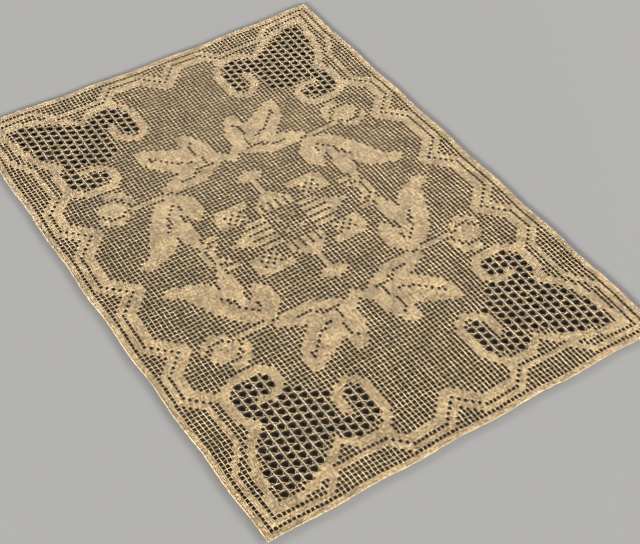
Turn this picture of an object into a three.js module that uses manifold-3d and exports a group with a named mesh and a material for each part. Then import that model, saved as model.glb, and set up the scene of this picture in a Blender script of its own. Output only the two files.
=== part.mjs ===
// A filet crochet table runner lying flat, worked in one piece of ecru cotton.
// The square net is a thin sheet. What is worked solid on it, the edge, the scalloped frame, the
// corner scrolls, leaves, buds and rosette, stands a little higher. The large lacet meshes that fill
// the corner scrolls are cut through, drawn wider apart than they are worked.
// Millimetres, +Z up, origin on the underside at the middle of the runner's box.

import * as THREE from "three";
import { mergeVertices } from "three/addons/utils/BufferGeometryUtils.js";
import Module from "manifold-3d";

// Driving dimensions in millimetres
const MESH = 4.25; // side of one square mesh, six to the inch
const COLUMNS = 97; // meshes across the runner
const ROWS = 137; // meshes along it
const EDGING = 1.2; // row of small stitches outside the outermost meshes
const NET_THICKNESS = 1.6;
const BLOCK_THICKNESS = 2.2; // solid blocks are denser and stand above the net
const SKEW = 2.7; // each end leans this far, up at -X and down at +X
const FAN = 1.6; // and the -Y end leans this much more, the +Y end this much less
const ROW_BOW = 4.9; // the +Y edge dips this far at mid width, the rows before it less and less
const COLUMN_BOW = 3; // the -X edge swells this far at mid length, the columns after it less
const RIPPLE = 0.7; // waviness of the four edges

// Everything below is charted in meshes from the middle: u across, v along, for one quarter.
const HALF_U = COLUMNS / 2;
const HALF_V = ROWS / 2;
const EDGE_U = HALF_U + EDGING / MESH;
const EDGE_V = HALF_V + EDGING / MESH;
const RIPPLE_MESHES = 20; // length of one ripple, that of a scallop
const SIDE_STEPS = 22; // points along each edge of the outline
const BORDER = 1; // solid meshes inside the edging
const FRAME_HALF = 1.4; // half width of the scalloped frame
const SCROLL_HALF = 1.3; // half width of the corner scrolls
const LINE_HALF = 0.6; // half width of the line that echoes the frame, and of the scrolls by the rosette

// Scalloped frame, from the tip in the middle of a side to the corner scroll
const LONG_SCALLOPS = [
  { u: 38, v: 0 },
  { u: 43.5, v: 5.5 },
  { u: 43.5, v: 14.5 },
  { u: 38, v: 20 },
  { u: 43.5, v: 25.5 },
  { u: 43.5, v: 30.5 },
  { u: 39.5, v: 34.5 },
];
const END_SCALLOPS = [
  { u: 0, v: 58 },
  { u: 5.5, v: 63.5 },
  { u: 13, v: 63.5 },
  { u: 16, v: 60 },
];

// Line that echoes the frame one open mesh outside it, from a long side round the corner to an end
const ECHO_LINE = [
  { u: 41.5, v: 0 },
  { u: 46, v: 4.5 },
  { u: 46, v: 15.5 },
  { u: 41.5, v: 20 },
  { u: 46, v: 24.5 },
  { u: 46, v: 31.5 },
  { u: 42, v: 35.5 },
  { u: 42, v: 46.5 },
  { u: 46, v: 52.5 },
  { u: 46, v: 66 },
  { u: 33.5, v: 66 },
  { u: 29.5, v: 62 },
  { u: 17.5, v: 62 },
  { u: 13.5, v: 66 },
  { u: 4.5, v: 66 },
  { u: 0, v: 61.5 },
];

// Corner scroll: two volutes as arcs of ellipses, in degrees, with the corner leaf between them
const END_CURL = { u: 15.8, v: 49.2, ru: 3.7, rv: 4.4, from: 30, to: -180 };
const END_BELLY = { u: 17, v: 51, ru: 4.9, rv: 8.2, from: 180, to: 90 };
const CORNER_LEAF = [
  { u: 21.4, v: 59.6 },
  { u: 25, v: 56.6 },
  { u: 28.4, v: 59.4 },
  { u: 32, v: 61.6 },
  { u: 37, v: 63 },
  { u: 43.5, v: 63.5 },
  { u: 42.8, v: 57 },
  { u: 41.3, v: 51 },
  { u: 39.2, v: 47.4 },
  { u: 36.4, v: 44.6 },
  { u: 38.2, v: 42.4 },
];
const SIDE_BELLY = { u: 32.6, v: 37.6, ru: 5.9, rv: 5.2, from: 0, to: -85 };
const SIDE_CURL = { u: 30.2, v: 36.2, ru: 4, rv: 3.9, from: -90, to: -300 };
const ARC_STEP = 36; // degrees between points of an arc
// Between the curls the lacet filling ends on a straight line, from and to these angles of them
const OPEN_FROM = -50;
const OPEN_TO = -215;

// Lacet meshes: worked two meshes wide, and cut here at CUT_PITCH meshes
const CUT_PITCH = 2.25;
const CUT_HALF_U = 0.82;
const CUT_HALF_V = 0.78;
const CUT_CLEAR = 0.35; // least meshes between a cut and the solid scroll
const CUT_LOW = -1; // heights that a cut runs between, past both faces
const CUT_HIGH = BLOCK_THICKNESS + 1;

// Leaf lobes: points that pull the midrib from base to tip, full width, and where it is widest
const LOBES = [
  {
    name: "end spray, side lobe",
    rib: [{ u: 2.4, v: 28 }, { u: 11, v: 25.2 }, { u: 20, v: 24.2 }],
    width: 6.2,
    belly: 0.9,
  },
  {
    name: "end spray, long lobe",
    rib: [{ u: 2, v: 27 }, { u: 13.5, v: 31.4 }, { u: 20, v: 40 }],
    width: 8.2,
    belly: 0.9,
  },
  {
    name: "end spray, short lobe",
    rib: [{ u: 4, v: 27 }, { u: 6, v: 34 }, { u: 7.4, v: 40 }],
    width: 6,
    belly: 0.9,
  },
  {
    name: "side leaf, long lobe",
    rib: [{ u: 19.5, v: 22 }, { u: 27, v: 16 }, { u: 24.4, v: 5.4 }, { u: 36.8, v: 4.4 }],
    width: 6.6,
    belly: 0.85,
  },
  {
    name: "side leaf, middle lobe",
    rib: [{ u: 20.6, v: 19.5 }, { u: 22, v: 11 }, { u: 21.4, v: 4.2 }],
    width: 4.9,
    belly: 1,
  },
  {
    name: "side leaf, small lobe",
    rib: [{ u: 20, v: 22.6 }, { u: 16.4, v: 18 }, { u: 16.8, v: 11.4 }],
    width: 5.8,
    belly: 1,
  },
];
const LOBE_FULLNESS = 0.75; // below 1 a lobe is blunter than a sine
const LOBE_STEPS = 7;
const STEMS = [
  { name: "end spray", line: [{ u: 0, v: 26 }, { u: 3, v: 28.4 }], half: 1.5 },
  { name: "bud", line: [{ u: 19, v: 21.4 }, { u: 20, v: 22.7 }, { u: 28, v: 22.7 }], half: 0.6 },
  { name: "diamond", line: [{ u: 0, v: 11 }, { u: 0, v: 17 }], half: 0.5 },
];

// Ellipses and pointed ends of the buds, diamonds and rosette, and the scrolls beside the rosette
const BUD = { u: 32.4, v: 25.4, ru: 3.3, rv: 2.7, from: 0, to: 324 };
const BUD_SEPALS = [
  { u: 32.6, v: 25.3, ru: 4.6, rv: 4.6, from: 235, to: 320 },
  { u: 31.8, v: 25.2, ru: 4.2, rv: 4.4, from: 165, to: 80 },
];
const SEPAL_HALF = 0.95;
const DIAMOND = { v: 18, half_u: 4.6, half_v: 2.8 };
const END_PETAL = { tip: 12.6, shoulder: 10.2, foot: 4.6, half: 4.6 };
const SIDE_PETAL = { tip: 15.2, shoulder: 10.8, foot: 5, half: 4.4 };
const CORNER_PETAL = [
  { u: 6.6, v: 10.5 },
  { u: 12.2, v: 10.5 },
  { u: 13.5, v: 9.2 },
  { u: 13.5, v: 6.4 },
];
const PETAL_HALF = 0.95;
const SIDE_SCROLLS = [
  { u: 16, v: 0, ru: 6.4, rv: 5.4, from: -85, to: 85 },
  { u: 16, v: 0, ru: 4.2, rv: 3.4, from: -60, to: 60 },
];

const wasm = await Module();
wasm.setup();

// Where a charted point lies on the table: the cloth is not laid quite square, its rows and columns
// bow, and its edges ripple
function laid({ u, v }) {
  const across = u / HALF_U;
  const along = v / HALF_V;
  const swell = ((1 - along * along) * (1 - across)) / 2;
  const sag = ((1 - across * across) * (1 + along)) / 2;
  const skew = across * along * along * (SKEW - FAN * along);
  const wave = (2 * Math.PI) / RIPPLE_MESHES;
  return new THREE.Vector2(
    MESH * u + RIPPLE * across * Math.sin(wave * v) - COLUMN_BOW * swell,
    MESH * v + RIPPLE * along * Math.sin(wave * u) - skew - ROW_BOW * sag,
  );
}

// Points along an arc of an ellipse
function arc({ u, v, ru, rv, from, to }) {
  const steps = Math.max(2, Math.round(Math.abs(to - from) / ARC_STEP));
  return Array.from({ length: steps + 1 }, (_, i) => {
    const angle = THREE.MathUtils.degToRad(from + ((to - from) * i) / steps);
    return { u: u + ru * Math.cos(angle), v: v + rv * Math.sin(angle) };
  });
}

// Closed outline of a strip of even width along an open line, with mitred corners
function strip(line, half) {
  const points = line.map(({ u, v }) => new THREE.Vector2(u, v));
  const left = [];
  const right = [];
  points.forEach((point, i) => {
    const before = points[Math.max(i - 1, 0)];
    const after = points[Math.min(i + 1, points.length - 1)];
    const into = (i > 0 ? point.clone().sub(before) : after.clone().sub(point)).normalize();
    const out = (after !== point ? after.clone().sub(point) : into.clone()).normalize();
    const bisector = into.clone().add(out).normalize();
    const reach = half / bisector.dot(into);
    left.push({ u: point.x - bisector.y * reach, v: point.y + bisector.x * reach });
    right.push({ u: point.x + bisector.y * reach, v: point.y - bisector.x * reach });
  });
  return [...left, ...right.reverse()];
}

// Place and direction on the smooth curve from the first to the last of some points, pulled by the
// rest: each stretch between points is divided at t, over and over
function onCurve(points, t) {
  let pull = points.map(({ u, v }) => new THREE.Vector2(u, v));
  while (pull.length > 2) {
    const ends = pull;
    pull = ends.slice(1).map((end, i) => ends[i].clone().lerp(end, t));
  }
  const [from, to] = pull;
  return { place: from.clone().lerp(to, t), run: to.clone().sub(from).normalize() };
}

// Closed outline of a leaf lobe: its half width follows a blunted sine along the midrib
function lobe({ rib, width, belly }) {
  const edge = (i, sign) => {
    const t = i / LOBE_STEPS;
    const { place, run } = onCurve(rib, t);
    const half = (sign * width * Math.sin(Math.PI * t ** belly) ** LOBE_FULLNESS) / 2;
    return { u: place.x - run.y * half, v: place.y + run.x * half };
  };
  const there = Array.from({ length: LOBE_STEPS }, (_, i) => edge(i, 1));
  const back = Array.from({ length: LOBE_STEPS }, (_, i) => edge(LOBE_STEPS - i, -1));
  return [...there, ...back];
}

// Pointed petal along +v, or along +u when turned
function petal({ tip, shoulder, foot, half }, turned) {
  const outline = [
    { u: 0, v: tip },
    { u: half, v: shoulder },
    { u: half, v: foot },
    { u: -half, v: foot },
    { u: -half, v: shoulder },
  ];
  return turned ? outline.map(({ u, v }) => ({ u: v, v: u })) : outline;
}

const flipped = (outline, su, sv) => outline.map(({ u, v }) => ({ u: u * su, v: v * sv }));

// A line from the middle of a side, joined to its own mirror image there
const withMirror = (line, su, sv) => [...flipped(line.slice(1), su, sv).reverse(), ...line];

// Closed outline of the whole runner, or of one drawn in by some meshes
function border(inset) {
  const u = EDGE_U - inset;
  const v = EDGE_V - inset;
  const corners = [[-u, -v], [u, -v], [u, v], [-u, v]];
  return corners.flatMap(([fromU, fromV], i) => {
    const [toU, toV] = corners[(i + 1) % corners.length];
    return Array.from({ length: SIDE_STEPS }, (_, k) => {
      const t = k / SIDE_STEPS;
      return { u: fromU + (toU - fromU) * t, v: fromV + (toV - fromV) * t };
    });
  });
}

// An upright slab of a charted outline, with charted holes, between two heights
function slab(outline, low, high, holes = []) {
  const shape = new THREE.Shape(outline.map(laid));
  shape.holes = holes.map((hole) => new THREE.Path(hole.map(laid)));
  const geometry = new THREE.ExtrudeGeometry(shape, { depth: high - low, bevelEnabled: false });
  geometry.translate(0, 0, low);
  geometry.deleteAttribute("normal");
  geometry.deleteAttribute("uv");
  const merged = mergeVertices(geometry);
  return new wasm.Manifold(
    new wasm.Mesh({
      numProp: 3,
      vertProperties: merged.attributes.position.array,
      triVerts: new Uint32Array(merged.index.array),
    }),
  );
}

const block = (outline, holes) => slab(outline, NET_THICKNESS / 2, BLOCK_THICKNESS, holes);

// Centre line of a corner scroll, from the end of one curl to the end of the other
const scrollLine = [
  ...arc(END_CURL),
  ...arc(END_BELLY).slice(1),
  ...CORNER_LEAF,
  ...arc(SIDE_BELLY),
  ...arc(SIDE_CURL).slice(1),
];

// Outline of the lacet filling: the scroll's line, closed straight across between the two curls
const lacetOutline = [
  ...arc({ ...END_CURL, from: OPEN_FROM }),
  ...arc(END_BELLY),
  ...CORNER_LEAF,
  ...arc(SIDE_BELLY),
  ...arc({ ...SIDE_CURL, to: OPEN_TO }),
];

function isInside({ u, v }, outline) {
  return outline.reduce((inside, a, i) => {
    const b = outline[(i + 1) % outline.length];
    const crosses = a.v > v !== b.v > v && u < a.u + ((b.u - a.u) * (v - a.v)) / (b.v - a.v);
    return crosses ? !inside : inside;
  }, false);
}

function distanceTo({ u, v }, line) {
  const point = new THREE.Vector3(u, v, 0);
  const nearest = new THREE.Vector3();
  return Math.min(
    ...line.slice(1).map((b, i) => {
      const a = line[i];
      const part = new THREE.Line3(new THREE.Vector3(a.u, a.v, 0), new THREE.Vector3(b.u, b.v, 0));
      return part.closestPointToPoint(point, true, nearest).distanceTo(point);
    }),
  );
}

// Six-sided cuts in staggered columns, where they lie clear inside the lacet filling
function lacetCuts() {
  const cuts = [];
  for (let column = 0; column * CUT_PITCH < HALF_U; column++) {
    for (let row = 0; row * CUT_PITCH < HALF_V; row++) {
      const u = column * CUT_PITCH;
      const v = (row + (column % 2) / 2) * CUT_PITCH;
      const outline = [-2, -1, 1, 2, 1, -1].map((step, i) => ({
        u: u + (step / 2) * CUT_HALF_U,
        v: v + (i === 0 || i === 3 ? 0 : i < 3 ? CUT_HALF_V : -CUT_HALF_V),
      }));
      const clear = (point) =>
        isInside(point, lacetOutline) && distanceTo(point, scrollLine) > SCROLL_HALF + CUT_CLEAR;
      if (outline.every(clear)) cuts.push(outline);
    }
  }
  return cuts;
}

// What is worked solid in one quarter, apart from what its mirror image continues
const quarterBlocks = [
  strip(scrollLine, SCROLL_HALF),
  ...LOBES.map(lobe),
  ...STEMS.map(({ line, half }) => strip(line, half)),
  arc(BUD),
  ...BUD_SEPALS.map((sepal) => strip(arc(sepal), SEPAL_HALF)),
  strip(CORNER_PETAL, PETAL_HALF),
  strip(ECHO_LINE, LINE_HALF),
];

// What crosses the middle of a long side, and what crosses the middle of an end
const longBlocks = [
  strip(withMirror(LONG_SCALLOPS, 1, -1), FRAME_HALF),
  petal(SIDE_PETAL, true),
  ...SIDE_SCROLLS.map((scroll) => strip(arc(scroll), LINE_HALF)),
];
const endBlocks = [
  strip(withMirror(END_SCALLOPS, -1, 1), FRAME_HALF),
  petal(END_PETAL, false),
  arc({ u: 0, v: DIAMOND.v, ru: DIAMOND.half_u, rv: DIAMOND.half_v, from: 0, to: 270 }),
];

const QUARTERS = [[1, 1], [1, -1], [-1, 1], [-1, -1]];

function runnerSolid() {
  const raised = block(border(0), [border(EDGING / MESH + BORDER)]);
  const net = slab(border(0), 0, NET_THICKNESS).add(raised);
  const worked = [
    ...[1, -1].flatMap((side) => longBlocks.map((outline) => flipped(outline, side, 1))),
    ...[1, -1].flatMap((side) => endBlocks.map((outline) => flipped(outline, 1, side))),
    ...QUARTERS.flatMap(([su, sv]) => quarterBlocks.map((outline) => flipped(outline, su, sv))),
  ];
  const cuts = lacetCuts();
  const cut = QUARTERS.flatMap(([su, sv]) => cuts.map((outline) => flipped(outline, su, sv)));
  const whole = worked.reduce((solid, outline) => solid.add(block(outline)), net);
  return cut.reduce((solid, outline) => solid.subtract(slab(outline, CUT_LOW, CUT_HIGH)), whole);
}

// The solid as a three.js geometry, with the middle of its box over the origin
function geometryOf(solid) {
  const { vertProperties, triVerts } = solid.getMesh();
  const geometry = new THREE.BufferGeometry();
  geometry.setAttribute("position", new THREE.BufferAttribute(vertProperties, 3));
  geometry.setIndex(new THREE.BufferAttribute(triVerts, 1));
  geometry.computeBoundingBox();
  const middle = geometry.boundingBox.getCenter(new THREE.Vector3());
  geometry.translate(-middle.x, -middle.y, 0);
  geometry.computeVertexNormals();
  return geometry;
}

const cotton = new THREE.MeshStandardMaterial({ color: 0xd6b283, roughness: 0.92, metalness: 0 });
const lace = new THREE.Mesh(geometryOf(runnerSolid()), cotton);
lace.name = "filet_lace";

const runner = new THREE.Group();
runner.name = "filet_table_runner";
runner.add(lace);

export default runner;
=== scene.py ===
"""A filet crochet table runner lying flat, with every post, chain and lacet of it as modelled thread.

The runner is charted in meshes, u across and v along from its middle. Chains run across on the lines
between rows, posts run along on the lines between columns, a solid mesh holds two more posts, and the
corner scrolls are filled with lacets, V-shaped loops over two columns and two rows.
"""

import bpy
import numpy as np
from mathutils import Matrix, Vector


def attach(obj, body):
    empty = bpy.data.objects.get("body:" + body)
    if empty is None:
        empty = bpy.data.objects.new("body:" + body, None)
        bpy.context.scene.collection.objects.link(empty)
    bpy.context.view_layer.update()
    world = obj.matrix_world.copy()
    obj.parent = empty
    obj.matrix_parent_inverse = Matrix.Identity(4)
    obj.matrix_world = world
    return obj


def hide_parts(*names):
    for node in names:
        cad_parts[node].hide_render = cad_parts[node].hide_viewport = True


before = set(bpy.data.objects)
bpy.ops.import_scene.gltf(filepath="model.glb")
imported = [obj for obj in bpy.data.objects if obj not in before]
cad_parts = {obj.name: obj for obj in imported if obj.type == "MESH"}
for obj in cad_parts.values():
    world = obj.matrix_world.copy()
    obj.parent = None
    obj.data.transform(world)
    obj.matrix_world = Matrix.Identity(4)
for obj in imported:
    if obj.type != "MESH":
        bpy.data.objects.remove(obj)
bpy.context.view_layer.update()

NODE = "filet_lace"

# Driving sizes in metres, and counts of meshes
MM = 0.001
MESH = 4.25 * MM
COLUMNS = 97
ROWS = 137
EDGING = 1.2 * MM
SKEW = 2.7 * MM
FAN = 1.6 * MM
ROW_BOW = 4.9 * MM
COLUMN_BOW = 3.0 * MM
RIPPLE = 0.7 * MM
RIPPLE_MESHES = 20
STRIPS = 6  # the lace is one cloth, modelled in this many strips of columns

# Strands: half width and half height at a knot and at the waist between two knots, and the height of
# the middle above the table
POST = {"knot": (0.37 * MM, 0.53 * MM), "waist": (0.30 * MM, 0.50 * MM), "height": 0.56 * MM, "sides": 6}
FILL = {"knot": (0.80 * MM, 0.44 * MM), "waist": (0.74 * MM, 0.34 * MM), "height": 0.57 * MM, "sides": 5}
CHAIN = {"knot": (0.26 * MM, 0.51 * MM), "waist": (0.22 * MM, 0.49 * MM), "height": 0.53 * MM, "sides": 5}
LACET = {"knot": (0.30 * MM, 0.50 * MM), "waist": (0.27 * MM, 0.48 * MM), "height": 0.51 * MM, "sides": 5}
HEM = {"knot": (0.76 * MM, 0.48 * MM), "waist": (0.64 * MM, 0.40 * MM), "height": 0.58 * MM, "sides": 6}
FILL_SHARES = (1 / 3, 2 / 3)  # where the two more posts of a solid mesh stand across it
CROWDING = 1.75  # how much wider, and so flatter, a post spreads beside a solid mesh
LACET_STEPS = 4
LACET_ROUND = 1.2  # above 1 the two arms of a lacet make a round-bottomed loop
HEM_STITCHES = 3  # stitches of the edging to a mesh
LOOSENESS = 0.18 * MM  # how far a knot or waist strays from its place
UNEVEN = 0.09  # spread of thread widths and heights, as a share
SEED = 41

# Charted forms of one quarter, as u, v in meshes. Scalloped frame, from the tip in the middle of a side
# to the corner scroll
FRAME_HALF = 0.8
LONG_SCALLOPS = [(38, 0), (43.5, 5.5), (43.5, 14.5), (38, 20), (43.5, 25.5), (43.5, 30.5), (39.5, 34.5)]
END_SCALLOPS = [(0, 58), (5.5, 63.5), (13, 63.5), (16, 60)]

# Line that echoes the frame one open mesh outside it
LINE_HALF = 0.72
ECHO_LINE = [
    (41.5, 0), (46, 4.5), (46, 15.5), (41.5, 20), (46, 24.5), (46, 31.5), (42, 35.5), (42, 46.5),
    (46, 52.5), (46, 66), (33.5, 66), (29.5, 62), (17.5, 62), (13.5, 66), (4.5, 66), (0, 61.5),
]

# Corner scroll: arcs of ellipses as middle u, v, radii and angles in degrees, and the corner leaf
SCROLL_HALF = 0.95
END_CURL = {"u": 15.8, "v": 49.2, "ru": 3.7, "rv": 4.4, "start": 30, "end": -180}
END_BELLY = {"u": 17, "v": 51, "ru": 4.9, "rv": 8.2, "start": 180, "end": 90}
CORNER_LEAF = [
    (21.4, 59.6), (25, 56.6), (28.4, 59.4), (32, 61.6), (37, 63), (43.5, 63.5),
    (42.8, 57), (41.3, 51), (39.2, 47.4), (36.4, 44.6), (38.2, 42.4),
]
SIDE_BELLY = {"u": 32.6, "v": 37.6, "ru": 5.9, "rv": 5.2, "start": 0, "end": -85}
SIDE_CURL = {"u": 30.2, "v": 36.2, "ru": 4.0, "rv": 3.9, "start": -90, "end": -300}
OPEN_START = -50  # the lacet filling ends on a line between these angles of the two curls
OPEN_END = -215

# Leaf lobes: points that pull the midrib from base to tip, full width, and where it is widest
LOBES = [
    {"rib": [(2.4, 28), (11, 25.2), (20, 24.2)], "width": 6.2, "belly": 0.9},
    {"rib": [(2, 27), (13.5, 31.4), (20, 40)], "width": 8.2, "belly": 0.9},
    {"rib": [(4, 27), (6, 34), (7.4, 40)], "width": 6, "belly": 0.9},
    {"rib": [(19.5, 22), (27, 16), (24.4, 5.4), (36.8, 4.4)], "width": 6.6, "belly": 0.85},
    {"rib": [(20.6, 19.5), (22, 11), (21.4, 4.2)], "width": 4.9, "belly": 1},
    {"rib": [(20, 22.6), (16.4, 18), (16.8, 11.4)], "width": 5.8, "belly": 1},
]
LOBE_FULLNESS = 0.75  # below 1 a lobe is blunter than a sine
LOBE_STEPS = 12
STEMS = [
    {"line": [(0, 26), (3, 28.4)], "half": 1.1},
    {"line": [(19, 21.4), (20, 22.7), (28, 22.7)], "half": 0.6},
    {"line": [(0, 11), (0, 17)], "half": 0.5},
]

# Open meshes left as veins in the leaves
VEIN_HALF = 0.45
VEINS = [
    [(5, 27), (8, 27), (10, 26), (11, 25), (14, 25)],
    [(14, 28.4), (17, 28.4)],
    [(9, 30), (10, 30), (13, 32), (17, 35.6)],
    [(6, 28), (6, 30)],
    [(7, 31.5), (7, 34.6), (6, 36)],
    [(24, 5), (24, 9.4)],
    [(25, 12), (23, 14.6), (23, 16.4), (20, 18.8)],
    [(20, 13), (20, 15)],
    [(19, 17.4), (19, 18)],
]

# Buds, diamonds, rosette and the scrolls beside it
BUD = {"rib": [(28.6, 24.3), (32.2, 25.2), (36, 26)], "width": 4.8, "belly": 1}
BUD_SEPALS = [
    {"u": 32.6, "v": 25.3, "ru": 4.6, "rv": 4.6, "start": 235, "end": 320},
    {"u": 31.8, "v": 25.2, "ru": 4.7, "rv": 4.5, "start": 180, "end": 85},
]
SEPAL_HALF = 0.8
DIAMOND = {"v": 18, "half_u": 3.8, "half_v": 2.6}
END_PETAL = [(-1, 12.6), (0, 12.6), (3.2, 9.4), (4.6, 8.2), (4.6, 5.6), (-1, 5.6)]
SIDE_PETAL = [(15.2, -1), (15.2, 0), (10.5, 2.8), (9.6, 4.4), (5, 4.4), (5, -1)]
END_SOLID = 9  # meshes from the middle where the ribs of the pointed petals end in a solid point
SIDE_SOLID = 11
CORNER_PETAL = [(6.6, 10.5), (12.2, 10.5), (13.5, 9.2), (13.5, 6.4)]
CORNER_PETAL_HALF = 0.95
LATTICE = [(7.5, 5.5), (12.6, 5.5), (12.6, 9.6), (7.5, 9.6)]
EYES = 4.6  # half width of the rosette's middle, where single meshes are solid
EYE_STEP = 4  # and this many meshes apart
SIDE_SCROLLS = [
    {"u": 16, "v": 0, "ru": 6.4, "rv": 5.4, "start": -85, "end": 85},
    {"u": 16, "v": 0, "ru": 4.2, "rv": 3.4, "start": -60, "end": 60},
]
SIDE_SCROLL_HALF = 0.5
ARC_STEP = 12  # degrees

# Cotton, as linear colours, and the heights above the table where its painted shade is deepest, where
# its colour is full and where its painted highlight is palest
ECRU_LIGHT = (0.76, 0.535, 0.255, 1)
ECRU_DARK = (0.27, 0.175, 0.07, 1)
# painted shade, the colour low between the strands
ECRU_PAINTED_SHADE = (0.07, 0.045, 0.02, 1)
# painted highlight, the colour on the tops of the highest strands
ECRU_PAINTED_HIGHLIGHT = (0.95, 0.9, 0.8, 1)
PAINTED_SHADE_HEIGHT = 0.5 * MM
TOP_HEIGHT = 0.97 * MM
PAINTED_HIGHLIGHT_HEIGHT = 1.12 * MM
ROUGHNESS = 0.85
SHEEN = 0.3
SHEEN_TINT = (1.0, 0.97, 0.92, 1)
PLIES = 3
TWISTS = 0.9  # turns of the plies to a millimetre of thread
PLY_DEPTH = 0.2 * MM
PLY_STRENGTH = 0.35
# painted shade: the grooves between the plies are coloured darker and their crowns lighter
PLY_SHADE = 0.1
HAND_SCALE = 45  # patches of dye to a metre, as wide as a hand's grip of thread
HAND_DETAIL = 3
STITCH_SCALE = 420  # and as wide as a stitch
STITCH_DETAIL = 1
STITCH_SHADE = 1.6  # how much more the stitches differ than the hands
TONE_REACH = 0.28  # tones this far either side of the middle one are fully light or dark

# Photograph's view
CAMERA_PLACE = Vector((-0.451964, -0.693087, 0.835866))
CAMERA_FORWARD = Vector((0.38867, 0.55035, -0.73895))
CAMERA_UP = Vector((0.40049, 0.62137, 0.67343))
CAMERA_LENS = 67.77  # this and the sensor's width in millimetres
SENSOR_WIDTH = 36

# Studio: softboxes by azimuth from +X towards +Y, elevation, and power over their distance squared
SOFTBOX_DISTANCE = 8
SOFTBOX_WIDTH = 0.67 * SOFTBOX_DISTANCE
SOFTBOX_HEIGHT = 0.083 * SOFTBOX_DISTANCE
SOFTBOXES = {
    "far_left_softbox": (105, 7, 19),
    "far_right_softbox": (10, 7, 19),
    "left_softbox": (205, 7, 40),
    "right_softbox": (300, 7, 23),
}
BACKDROP_WHITE = (1, 1, 1, 1)
BACKDROP_LIGHT = 0.8  # as the camera sees it, with no light from it on the lace
FLOOR_HALF = 3
FLOOR_GREY = (0.36, 0.355, 0.34, 1)
FLOOR_ROUGHNESS = 0.9

rng = np.random.default_rng(SEED)
COLUMN = np.arange(COLUMNS) - COLUMNS // 2
ROW = np.arange(ROWS) - ROWS // 2
U, V = np.meshgrid(np.abs(COLUMN), np.abs(ROW), indexing="ij")
CELLS = np.stack([U, V], axis=-1).astype(float)


def laid(u, v):
    """Place of charted points on the table: the ends lie slightly skewed, the -Y end more than the other,
    the rows sag more and more towards the +Y end, the columns swell towards the -X edge, and the edges
    ripple."""
    across = u / (COLUMNS / 2)
    along = v / (ROWS / 2)
    swell = (1 - along**2) * (1 - across) / 2
    sag = (1 - across**2) * (1 + along) / 2
    skew = across * along**2 * (SKEW - FAN * along)
    wave = 2 * np.pi / RIPPLE_MESHES
    x = MESH * u + RIPPLE * across * np.sin(wave * v) - COLUMN_BOW * swell
    y = MESH * v + RIPPLE * along * np.sin(wave * u) - skew - ROW_BOW * sag
    return np.stack([x, y], axis=-1)


def arc(u, v, ru, rv, start, end):
    """Points on an ellipse about (u, v), evenly spaced in angle."""
    steps = max(2, round(abs(end - start) / ARC_STEP))
    angle = np.radians(np.linspace(start, end, steps + 1))
    return np.stack([u + ru * np.cos(angle), v + rv * np.sin(angle)], axis=1)


def lobe(rib, width, belly):
    """Outline of a leaf lobe: its midrib is the smooth curve pulled by the points of rib, found by
    halving between them over and over, and its half width follows a blunted sine along it."""
    t = np.linspace(0, 1, LOBE_STEPS + 1)[:, None, None]
    pull = np.array(rib, float)[None] * np.ones_like(t)
    while pull.shape[1] > 2:
        pull = (1 - t) * pull[:, :-1] + t * pull[:, 1:]
    midrib = ((1 - t) * pull[:, :-1] + t * pull[:, 1:])[:, 0]
    run = pull[:, 1] - pull[:, 0]
    side = np.stack([-run[:, 1], run[:, 0]], axis=1) / np.linalg.norm(run, axis=1, keepdims=True)
    half = width / 2 * np.sin(np.pi * t[:, 0] ** belly) ** LOBE_FULLNESS * side
    return np.concatenate([midrib + half, (midrib - half)[::-1]])


def near(line, half):
    """Meshes whose middle lies within a half width of a line of points."""
    points = np.array(line, float)
    start, step = points[:-1], np.diff(points, axis=0)
    from_start = CELLS[:, :, None, :] - start
    t = (from_start * step).sum(-1) / (step**2).sum(-1)
    gap = from_start - np.clip(t, 0, 1)[..., None] * step
    return np.linalg.norm(gap, axis=-1).min(-1) <= half


def inside(outline):
    """Meshes whose middle lies inside a closed outline, by counting the sides crossed."""
    a = np.array(outline, float)
    b = np.roll(a, -1, axis=0)
    u, v = CELLS[..., :1], CELLS[..., 1:]
    rise = np.where(b[:, 1] == a[:, 1], 1, b[:, 1] - a[:, 1])
    crossing = a[:, 0] + (b[:, 0] - a[:, 0]) * (v - a[:, 1]) / rise
    crossed = ((a[:, 1] > v) != (b[:, 1] > v)) & (u < crossing)
    return crossed.sum(-1) % 2 == 1


def corner_scroll(curl_start, curl_end):
    """Line of a corner scroll between two angles of its curls."""
    return np.concatenate([
        arc(**{**END_CURL, "start": curl_start}),
        arc(**END_BELLY),
        CORNER_LEAF,
        arc(**SIDE_BELLY),
        arc(**{**SIDE_CURL, "end": curl_end}),
    ])


def rosette():
    """Meshes worked solid in the rosette: ribbed petals with solid points, and latticed ones."""
    end_petal = inside(END_PETAL) & ((U % 2 == 0) | (V >= END_SOLID))
    side_petal = inside(SIDE_PETAL) & ((V % 2 == 0) | (U >= SIDE_SOLID))
    corner_petal = near(CORNER_PETAL, CORNER_PETAL_HALF) | (inside(LATTICE) & ((U + V) % 2 == 0))
    at_eye = (U % EYE_STEP == EYE_STEP // 2) & (V % EYE_STEP == EYE_STEP // 2)
    eyes = at_eye & (U < EYES) & (V < EYES)
    return end_petal | side_petal | corner_petal | eyes


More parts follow.
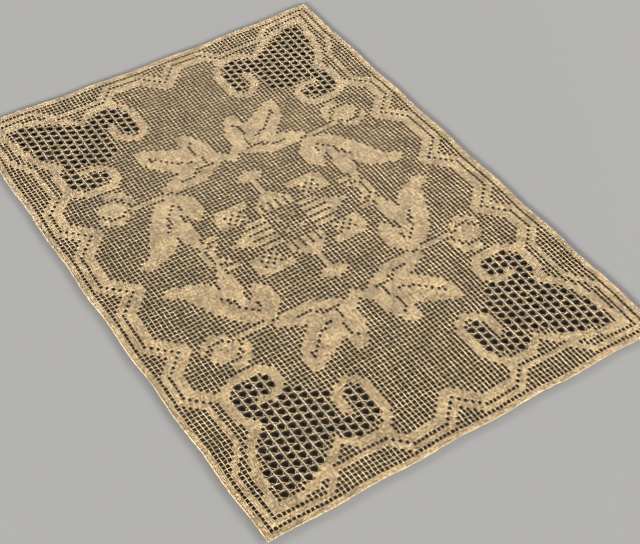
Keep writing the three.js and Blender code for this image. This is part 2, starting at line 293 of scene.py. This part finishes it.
def chart():
    """The two kinds of worked mesh, as (solid, lacet) arrays of columns by rows."""
    scroll = near(corner_scroll(END_CURL["start"], SIDE_CURL["end"]), SCROLL_HALF)
    lacet = inside(corner_scroll(OPEN_START, OPEN_END)) & ~scroll
    border = (U == COLUMNS // 2) | (V == ROWS // 2)
    framing = near(LONG_SCALLOPS, FRAME_HALF) | near(END_SCALLOPS, FRAME_HALF) | near(ECHO_LINE, LINE_HALF)
    leaves = np.any([inside(lobe(**row)) for row in LOBES], axis=0)
    stems = np.any([near(**row) for row in STEMS], axis=0)
    veins = np.any([near(line, VEIN_HALF) for line in VEINS], axis=0)
    bud = inside(lobe(**BUD)) | np.any([near(arc(**row), SEPAL_HALF) for row in BUD_SEPALS], axis=0)
    diamond = U / DIAMOND["half_u"] + np.abs(V - DIAMOND["v"]) / DIAMOND["half_v"] <= 1
    side_scrolls = np.any([near(arc(**row), SIDE_SCROLL_HALF) for row in SIDE_SCROLLS], axis=0)
    sprays = (leaves | stems) & ~veins
    solid = border | framing | scroll | sprays | bud | diamond | side_scrolls | rosette()
    return solid, lacet & ~solid


def lacet_units(lacet):
    """Left column and lower row of each lacet: two columns by two rows of lacet meshes, in pairs of
    columns counted out from the middle, each pair set one row on from the last."""
    column, row = np.meshgrid(np.arange(COLUMNS - 1), np.arange(ROWS - 1), indexing="ij")
    u = column - COLUMNS // 2
    pair = np.where(u >= 0, u // 2, (-u - 1) // 2)
    paired = np.where(u >= 0, u % 2 == 0, (-u - 1) % 2 == 0)
    staggered = (row + pair) % 2 == 0
    whole = lacet[:-1, :-1] & lacet[1:, :-1] & lacet[:-1, 1:] & lacet[1:, 1:]
    return np.nonzero(whole & paired & staggered)


solid, lacet = chart()
unit_column, unit_row = lacet_units(lacet)

# Where strands are worked: posts on column lines, chains on row lines
post_here = np.ones((COLUMNS + 1, ROWS), bool)
chain_here = np.ones((COLUMNS, ROWS + 1), bool)
post_here[unit_column + 1, unit_row] = False
post_here[unit_column + 1, unit_row + 1] = False
chain_here[unit_column, unit_row + 1] = False
chain_here[unit_column + 1, unit_row + 1] = False

# Posts spread beside solid meshes, at their waists and at the knots of either row
beside_solid = np.zeros((COLUMNS + 1, ROWS), bool)
beside_solid[:-1] |= solid
beside_solid[1:] |= solid
post_spread = np.ones((COLUMNS + 1, 2 * ROWS + 1))
post_spread[:, 1::2][beside_solid] = CROWDING
post_spread[:, :-1:2][beside_solid] = CROWDING
post_spread[:, 2::2][beside_solid] = CROWDING

# Crossings of the net, each a little out of place, centred as the solid is
column_lines = np.arange(COLUMNS + 1) - COLUMNS / 2
row_lines = np.arange(ROWS + 1) - ROWS / 2
crossings = laid(*np.meshgrid(column_lines, row_lines, indexing="ij"))
middle = (crossings.min((0, 1)) + crossings.max((0, 1))) / 2
crossings = crossings - middle + rng.normal(0, LOOSENESS, crossings.shape)


def with_waists(knots):
    """Points of strands with one more between each two knots, strayed a little: (n, k, 2) to (n, 2k-1, 2)."""
    points = np.empty((knots.shape[0], 2 * knots.shape[1] - 1, 2))
    points[:, ::2] = knots
    between = (knots[:, 1:] + knots[:, :-1]) / 2
    points[:, 1::2] = between + rng.normal(0, LOOSENESS, between.shape)
    return points


def rings(points, thread, spread=1, closed=False):
    """Rings of points round many strands at once, (strands, rings, sides, 3), from (strands, rings, 2)
    in plan. Each ring is a polygon on an upright ellipse across the strand, with the sizes of a knot
    and of a waist by turns, all a little uneven. Its half width is times spread, its half height over
    the root of spread, and nothing goes below the table."""
    strands, count = points.shape[:2]
    run = np.roll(points, -1, 1) - np.roll(points, 1, 1) if closed else np.gradient(points, axis=1)
    run /= np.linalg.norm(run, axis=-1, keepdims=True)
    across = np.stack([-run[..., 1], run[..., 0]], axis=-1)
    at_knot = (np.arange(count) % 2 == 0)[:, None]
    sizes = np.where(at_knot, thread["knot"], thread["waist"]) * rng.normal(1, UNEVEN, (strands, count, 2))
    half, rise = sizes[..., 0] * spread, sizes[..., 1] / np.sqrt(spread)
    angle = 2 * np.pi * np.arange(thread["sides"]) / thread["sides"]
    plan = points[:, :, None] + (half[..., None] * np.cos(angle))[..., None] * across[:, :, None]
    height = np.maximum(thread["height"] + rise[..., None] * np.sin(angle), 0)
    return np.concatenate([plan, height[..., None]], axis=-1)


def tubes(ring, here, start=0, closed=False):
    """Closed tubes through rings of points: four-sided faces from each ring to the next wherever here is
    true, and a cap at both ends of each run. Returns vertices, faces, caps, and the faces' coordinates,
    the turn round the strand and the length along it in rings, counted from start."""
    strands, count, sides = ring.shape[:3]
    strand, stretch = np.nonzero(here)
    side = np.arange(sides)
    beside = (side + 1) % sides
    first = ((strand * count + stretch) * sides)[:, None]
    after = ((strand * count + (stretch + 1) % count) * sides)[:, None]
    faces = np.stack([first + side, first + beside, after + beside, after + side], axis=-1).reshape(-1, 4)
    turn = np.stack([side, side + 1, side + 1, side], axis=-1) / sides
    length = start + stretch[:, None, None] + np.array([0, 0, 1, 1])
    coordinates = np.stack(np.broadcast_arrays(turn[None], length), axis=-1).reshape(-1, 2)

    none = np.zeros((strands, 1), bool)
    start_strand, start_ring = np.nonzero(here & ~np.concatenate([none, here[:, :-1]], axis=1))
    end_strand, end_ring = np.nonzero(here & ~np.concatenate([here[:, 1:], none], axis=1))
    start_caps = ((start_strand * count + start_ring) * sides)[:, None] + side[::-1]
    end_caps = ((end_strand * count + end_ring + 1) * sides)[:, None] + side
    caps = np.empty((0, sides), int) if closed else np.concatenate([start_caps, end_caps])
    return ring.reshape(-1, 3), faces, caps, coordinates


def mesh_of(name, parts, material):
    """One mesh object of several sets of tubes, smooth but for their caps, with the map "thread" giving
    turn and length."""
    corners, sizes, smooth, maps = [], [], [], []
    count = 0
    for vertices, faces, caps, coordinates in parts:
        corners += [faces.ravel() + count, caps.ravel() + count]
        sizes += [np.full(len(faces), 4), np.full(len(caps), caps.shape[1])]
        smooth += [np.ones(len(faces), bool), np.zeros(len(caps), bool)]
        maps += [coordinates, np.zeros((caps.size, 2))]
        count += len(vertices)
    used, corners = np.unique(np.concatenate(corners), return_inverse=True)
    points = np.concatenate([vertices for vertices, *_ in parts])[used]
    sizes = np.concatenate(sizes)

    mesh = bpy.data.meshes.new(name)
    mesh.vertices.add(len(points))
    mesh.vertices.foreach_set("co", points.astype(np.float32).ravel())
    mesh.loops.add(len(corners))
    mesh.loops.foreach_set("vertex_index", corners.astype(np.int32))
    mesh.polygons.add(len(sizes))
    mesh.polygons.foreach_set("loop_start", (np.cumsum(sizes) - sizes).astype(np.int32))
    mesh.polygons.foreach_set("use_smooth", np.concatenate(smooth))
    thread_map = mesh.uv_layers.new(name="thread")
    thread_map.uv.foreach_set("vector", np.concatenate(maps).astype(np.float32).ravel())
    mesh.update(calc_edges=True)
    mesh.materials.append(material)
    piece = bpy.data.objects.new(name, mesh)
    bpy.context.scene.collection.objects.link(piece)
    return piece


# Rings of the whole lace, which its strips share
post_rings = rings(with_waists(crossings), POST, post_spread)
chain_rings = rings(with_waists(crossings.transpose(1, 0, 2)), CHAIN)
fill_rings = [
    rings(with_waists((1 - share) * crossings[:-1] + share * crossings[1:]), FILL) for share in FILL_SHARES
]


def lace_strip(name, first, last, material):
    """The strands of columns first to last: the posts before each column and, after the last column,
    behind it, two more posts in each solid mesh, the chains, which end inside posts, and the arms of
    the lacets that start in those columns."""
    columns = slice(first, last)
    post_lines = slice(first, last + 1 if last == COLUMNS else last)
    parts = [tubes(post_rings[post_lines], np.repeat(post_here[post_lines], 2, axis=1))]
    parts += [tubes(ring[columns], np.repeat(solid[columns], 2, axis=1)) for ring in fill_rings]
    chains = chain_rings[:, 2 * first : 2 * last + 1]
    parts.append(tubes(chains, np.repeat(chain_here[columns].T, 2, axis=1), 2 * first))
    mine = (unit_column >= first) & (unit_column < last)
    column, row = unit_column[mine], unit_row[mine]
    t = np.linspace(0, 1, LACET_STEPS + 1)[None, :, None]
    foot = crossings[column + 1, row][:, None]
    for side in (0, 2):  # the left arm and the right one
        corner = crossings[column + side, row][:, None]
        top = crossings[column + side, row + 1][:, None]
        arms = foot + t * (corner - foot) + t**LACET_ROUND * (top - corner)
        parts.append(tubes(rings(arms, LACET), np.ones((len(column), LACET_STEPS), bool)))
    return mesh_of(name, parts, material)


def hem(name, material):
    """The edging: one closed tube of small stitches just outside the outermost crossings."""
    rim = np.concatenate([crossings[:-1, 0], crossings[-1, :-1], crossings[:0:-1, -1], crossings[0, :0:-1]])
    steps = 2 * HEM_STITCHES
    share = (np.arange(steps) / steps)[None, :, None]
    line = (rim[:, None] * (1 - share) + np.roll(rim, -1, 0)[:, None] * share).reshape(1, -1, 2)
    run = np.roll(line, -steps, 1) - np.roll(line, steps, 1)
    run /= np.linalg.norm(run, axis=-1, keepdims=True)
    outward = np.stack([run[..., 1], -run[..., 0]], axis=-1)
    points = line + outward * (EDGING - HEM["waist"][0])
    whole_way = np.ones(points.shape[:2], bool)
    return mesh_of(name, [tubes(rings(points, HEM, closed=True), whole_way, closed=True)], material)


def node(tree, kind, inputs=None, **settings):
    """A shader node with its settings, and its inputs set to values or linked to sockets."""
    made = tree.nodes.new(kind)
    for key, value in settings.items():
        setattr(made, key, value)
    for key, value in (inputs or {}).items():
        if isinstance(value, bpy.types.NodeSocket):
            tree.links.new(value, made.inputs[key])
        else:
            made.inputs[key].default_value = value
    return made


def cotton():
    """Matt ecru cotton: plies twist round each strand and their grooves carry painted shade, the colour is
    mottled over hands and stitches, and by height it goes from painted shade low between the strands to a
    painted highlight on the tops of the highest."""
    material = bpy.data.materials.new("ecru cotton")
    material.use_nodes = True
    tree = material.node_tree
    shader = tree.nodes["Principled BSDF"]

    def worked_out(operation, *values):
        """Result of an operation on values or sockets."""
        return node(tree, "ShaderNodeMath", dict(enumerate(values)), operation=operation).outputs[0]

    def share(value, low, high, **settings):
        """How far a value is on its way from low to high, from 0 to 1."""
        inputs = {"Value": value, "From Min": low, "From Max": high}
        return node(tree, "ShaderNodeMapRange", inputs, **settings).outputs["Result"]

    def blend(factor, first, second):
        """Colour that goes from the first to the second as factor goes from 0 to 1."""
        inputs = {"Factor": factor, "A": first, "B": second}
        return node(tree, "ShaderNodeMix", inputs, data_type="RGBA").outputs["Result"]

    place = node(tree, "ShaderNodeTexCoord").outputs["Object"]
    thread = node(tree, "ShaderNodeUVMap", uv_map="thread").outputs["UV"]
    way = node(tree, "ShaderNodeSeparateXYZ", {"Vector": thread})
    plies = worked_out("MULTIPLY", way.outputs["X"], PLIES)
    turns_to_a_ring = TWISTS * MESH / MM / 2  # most rings stand half a mesh apart
    twist = worked_out("MULTIPLY_ADD", way.outputs["Y"], turns_to_a_ring, plies)
    ply = worked_out("SINE", worked_out("MULTIPLY", twist, 2 * np.pi))

    hands = node(tree, "ShaderNodeTexNoise", {"Vector": place, "Scale": HAND_SCALE, "Detail": HAND_DETAIL})
    stitches = node(
        tree, "ShaderNodeTexNoise", {"Vector": place, "Scale": STITCH_SCALE, "Detail": STITCH_DETAIL},
    )
    tone = worked_out("MULTIPLY_ADD", ply, PLY_SHADE, hands.outputs["Fac"])
    tone = worked_out("MULTIPLY_ADD", stitches.outputs["Fac"], STITCH_SHADE, tone)
    middle_tone = (1 + STITCH_SHADE) / 2
    # the tone carries the painted shade of the ply grooves as well as the mottled dye
    dye_and_ply_shade = share(tone, middle_tone - TONE_REACH, middle_tone + TONE_REACH)

    height = node(tree, "ShaderNodeSeparateXYZ", {"Vector": place}).outputs["Z"]
    # painted highlight: paler towards the tops of the highest strands
    painted_highlight = share(height, TOP_HEIGHT, PAINTED_HIGHLIGHT_HEIGHT)
    # painted shade: darker low between the strands
    clear_of_painted_shade = share(height, PAINTED_SHADE_HEIGHT, TOP_HEIGHT, interpolation_type="SMOOTHSTEP")
    dyed_and_ply_shaded = blend(dye_and_ply_shade, ECRU_DARK, ECRU_LIGHT)
    colour = blend(clear_of_painted_shade, ECRU_PAINTED_SHADE, blend(painted_highlight, dyed_and_ply_shaded, ECRU_PAINTED_HIGHLIGHT))
    bump = node(
        tree, "ShaderNodeBump", {"Height": ply, "Strength": PLY_STRENGTH, "Distance": PLY_DEPTH},
    )
    tree.links.new(colour, shader.inputs["Base Color"])
    tree.links.new(bump.outputs["Normal"], shader.inputs["Normal"])
    shader.inputs["Roughness"].default_value = ROUGHNESS
    shader.inputs["Sheen Weight"].default_value = SHEEN
    shader.inputs["Sheen Tint"].default_value = SHEEN_TINT
    return material


cotton_thread = cotton()
strip_edges = np.linspace(0, COLUMNS, STRIPS + 1).round().astype(int)
hem_piece = hem("edging", cotton_thread)
pieces = [hem_piece]
for number, (first, last) in enumerate(zip(strip_edges[:-1], strip_edges[1:]), start=1):
    strip = lace_strip(f"lace_strip_{number}", int(first), int(last), cotton_thread)
    pieces.append(strip)
for piece in pieces:
    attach(piece, "root")
    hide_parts(NODE)


def floor():
    """Plain pale floor, a large flat square that the lace rests on."""
    mesh = bpy.data.meshes.new("floor")
    corners = [(-1, -1, 0), (1, -1, 0), (1, 1, 0), (-1, 1, 0)]
    mesh.from_pydata(FLOOR_HALF * np.array(corners, float), [], [(0, 1, 2, 3)])
    material = bpy.data.materials.new("pale floor")
    material.use_nodes = True
    shader = material.node_tree.nodes["Principled BSDF"]
    shader.inputs["Base Color"].default_value = FLOOR_GREY
    shader.inputs["Roughness"].default_value = FLOOR_ROUGHNESS
    mesh.materials.append(material)
    ground = bpy.data.objects.new("floor", mesh)
    bpy.context.scene.collection.objects.link(ground)


def softbox(name, azimuth, elevation, power):
    """Wide area light aimed at the runner's middle."""
    light = bpy.data.lights.new(name, "AREA")
    light.shape = "RECTANGLE"
    light.size = SOFTBOX_WIDTH
    light.size_y = SOFTBOX_HEIGHT
    light.energy = power * SOFTBOX_DISTANCE**2
    lamp = bpy.data.objects.new(name, light)
    a, e = np.radians([azimuth, elevation])
    place = Vector((np.cos(e) * np.cos(a), np.cos(e) * np.sin(a), np.sin(e))) * SOFTBOX_DISTANCE
    lamp.matrix_world = Matrix.Translation(place) @ place.to_track_quat("Z", "Y").to_matrix().to_4x4()
    bpy.context.scene.collection.objects.link(lamp)


def backdrop():
    """Pale backdrop that the camera sees past the floor, and that lights nothing."""
    world = bpy.data.worlds.new("backdrop")
    bpy.context.scene.world = world
    world.use_nodes = True
    background = world.node_tree.nodes["Background"]
    background.inputs["Color"].default_value = BACKDROP_WHITE
    background.inputs["Strength"].default_value = BACKDROP_LIGHT
    world.cycles_visibility.diffuse = False
    world.cycles_visibility.glossy = False


def camera():
    """Camera at the photograph's viewing angle."""
    data = bpy.data.cameras.new("camera")
    data.lens = CAMERA_LENS
    data.sensor_width = SENSOR_WIDTH
    back = -CAMERA_FORWARD.normalized()
    right = CAMERA_UP.cross(back).normalized()
    up = back.cross(right)
    turn = Matrix((right, up, back)).transposed().to_4x4()
    eye = bpy.data.objects.new("camera", data)
    eye.matrix_world = Matrix.Translation(CAMERA_PLACE) @ turn
    bpy.context.scene.collection.objects.link(eye)
    bpy.context.scene.camera = eye


floor()
for name, settings in SOFTBOXES.items():
    softbox(name, *settings)
backdrop()
camera()
bpy.context.scene.view_settings.view_transform = "Standard"
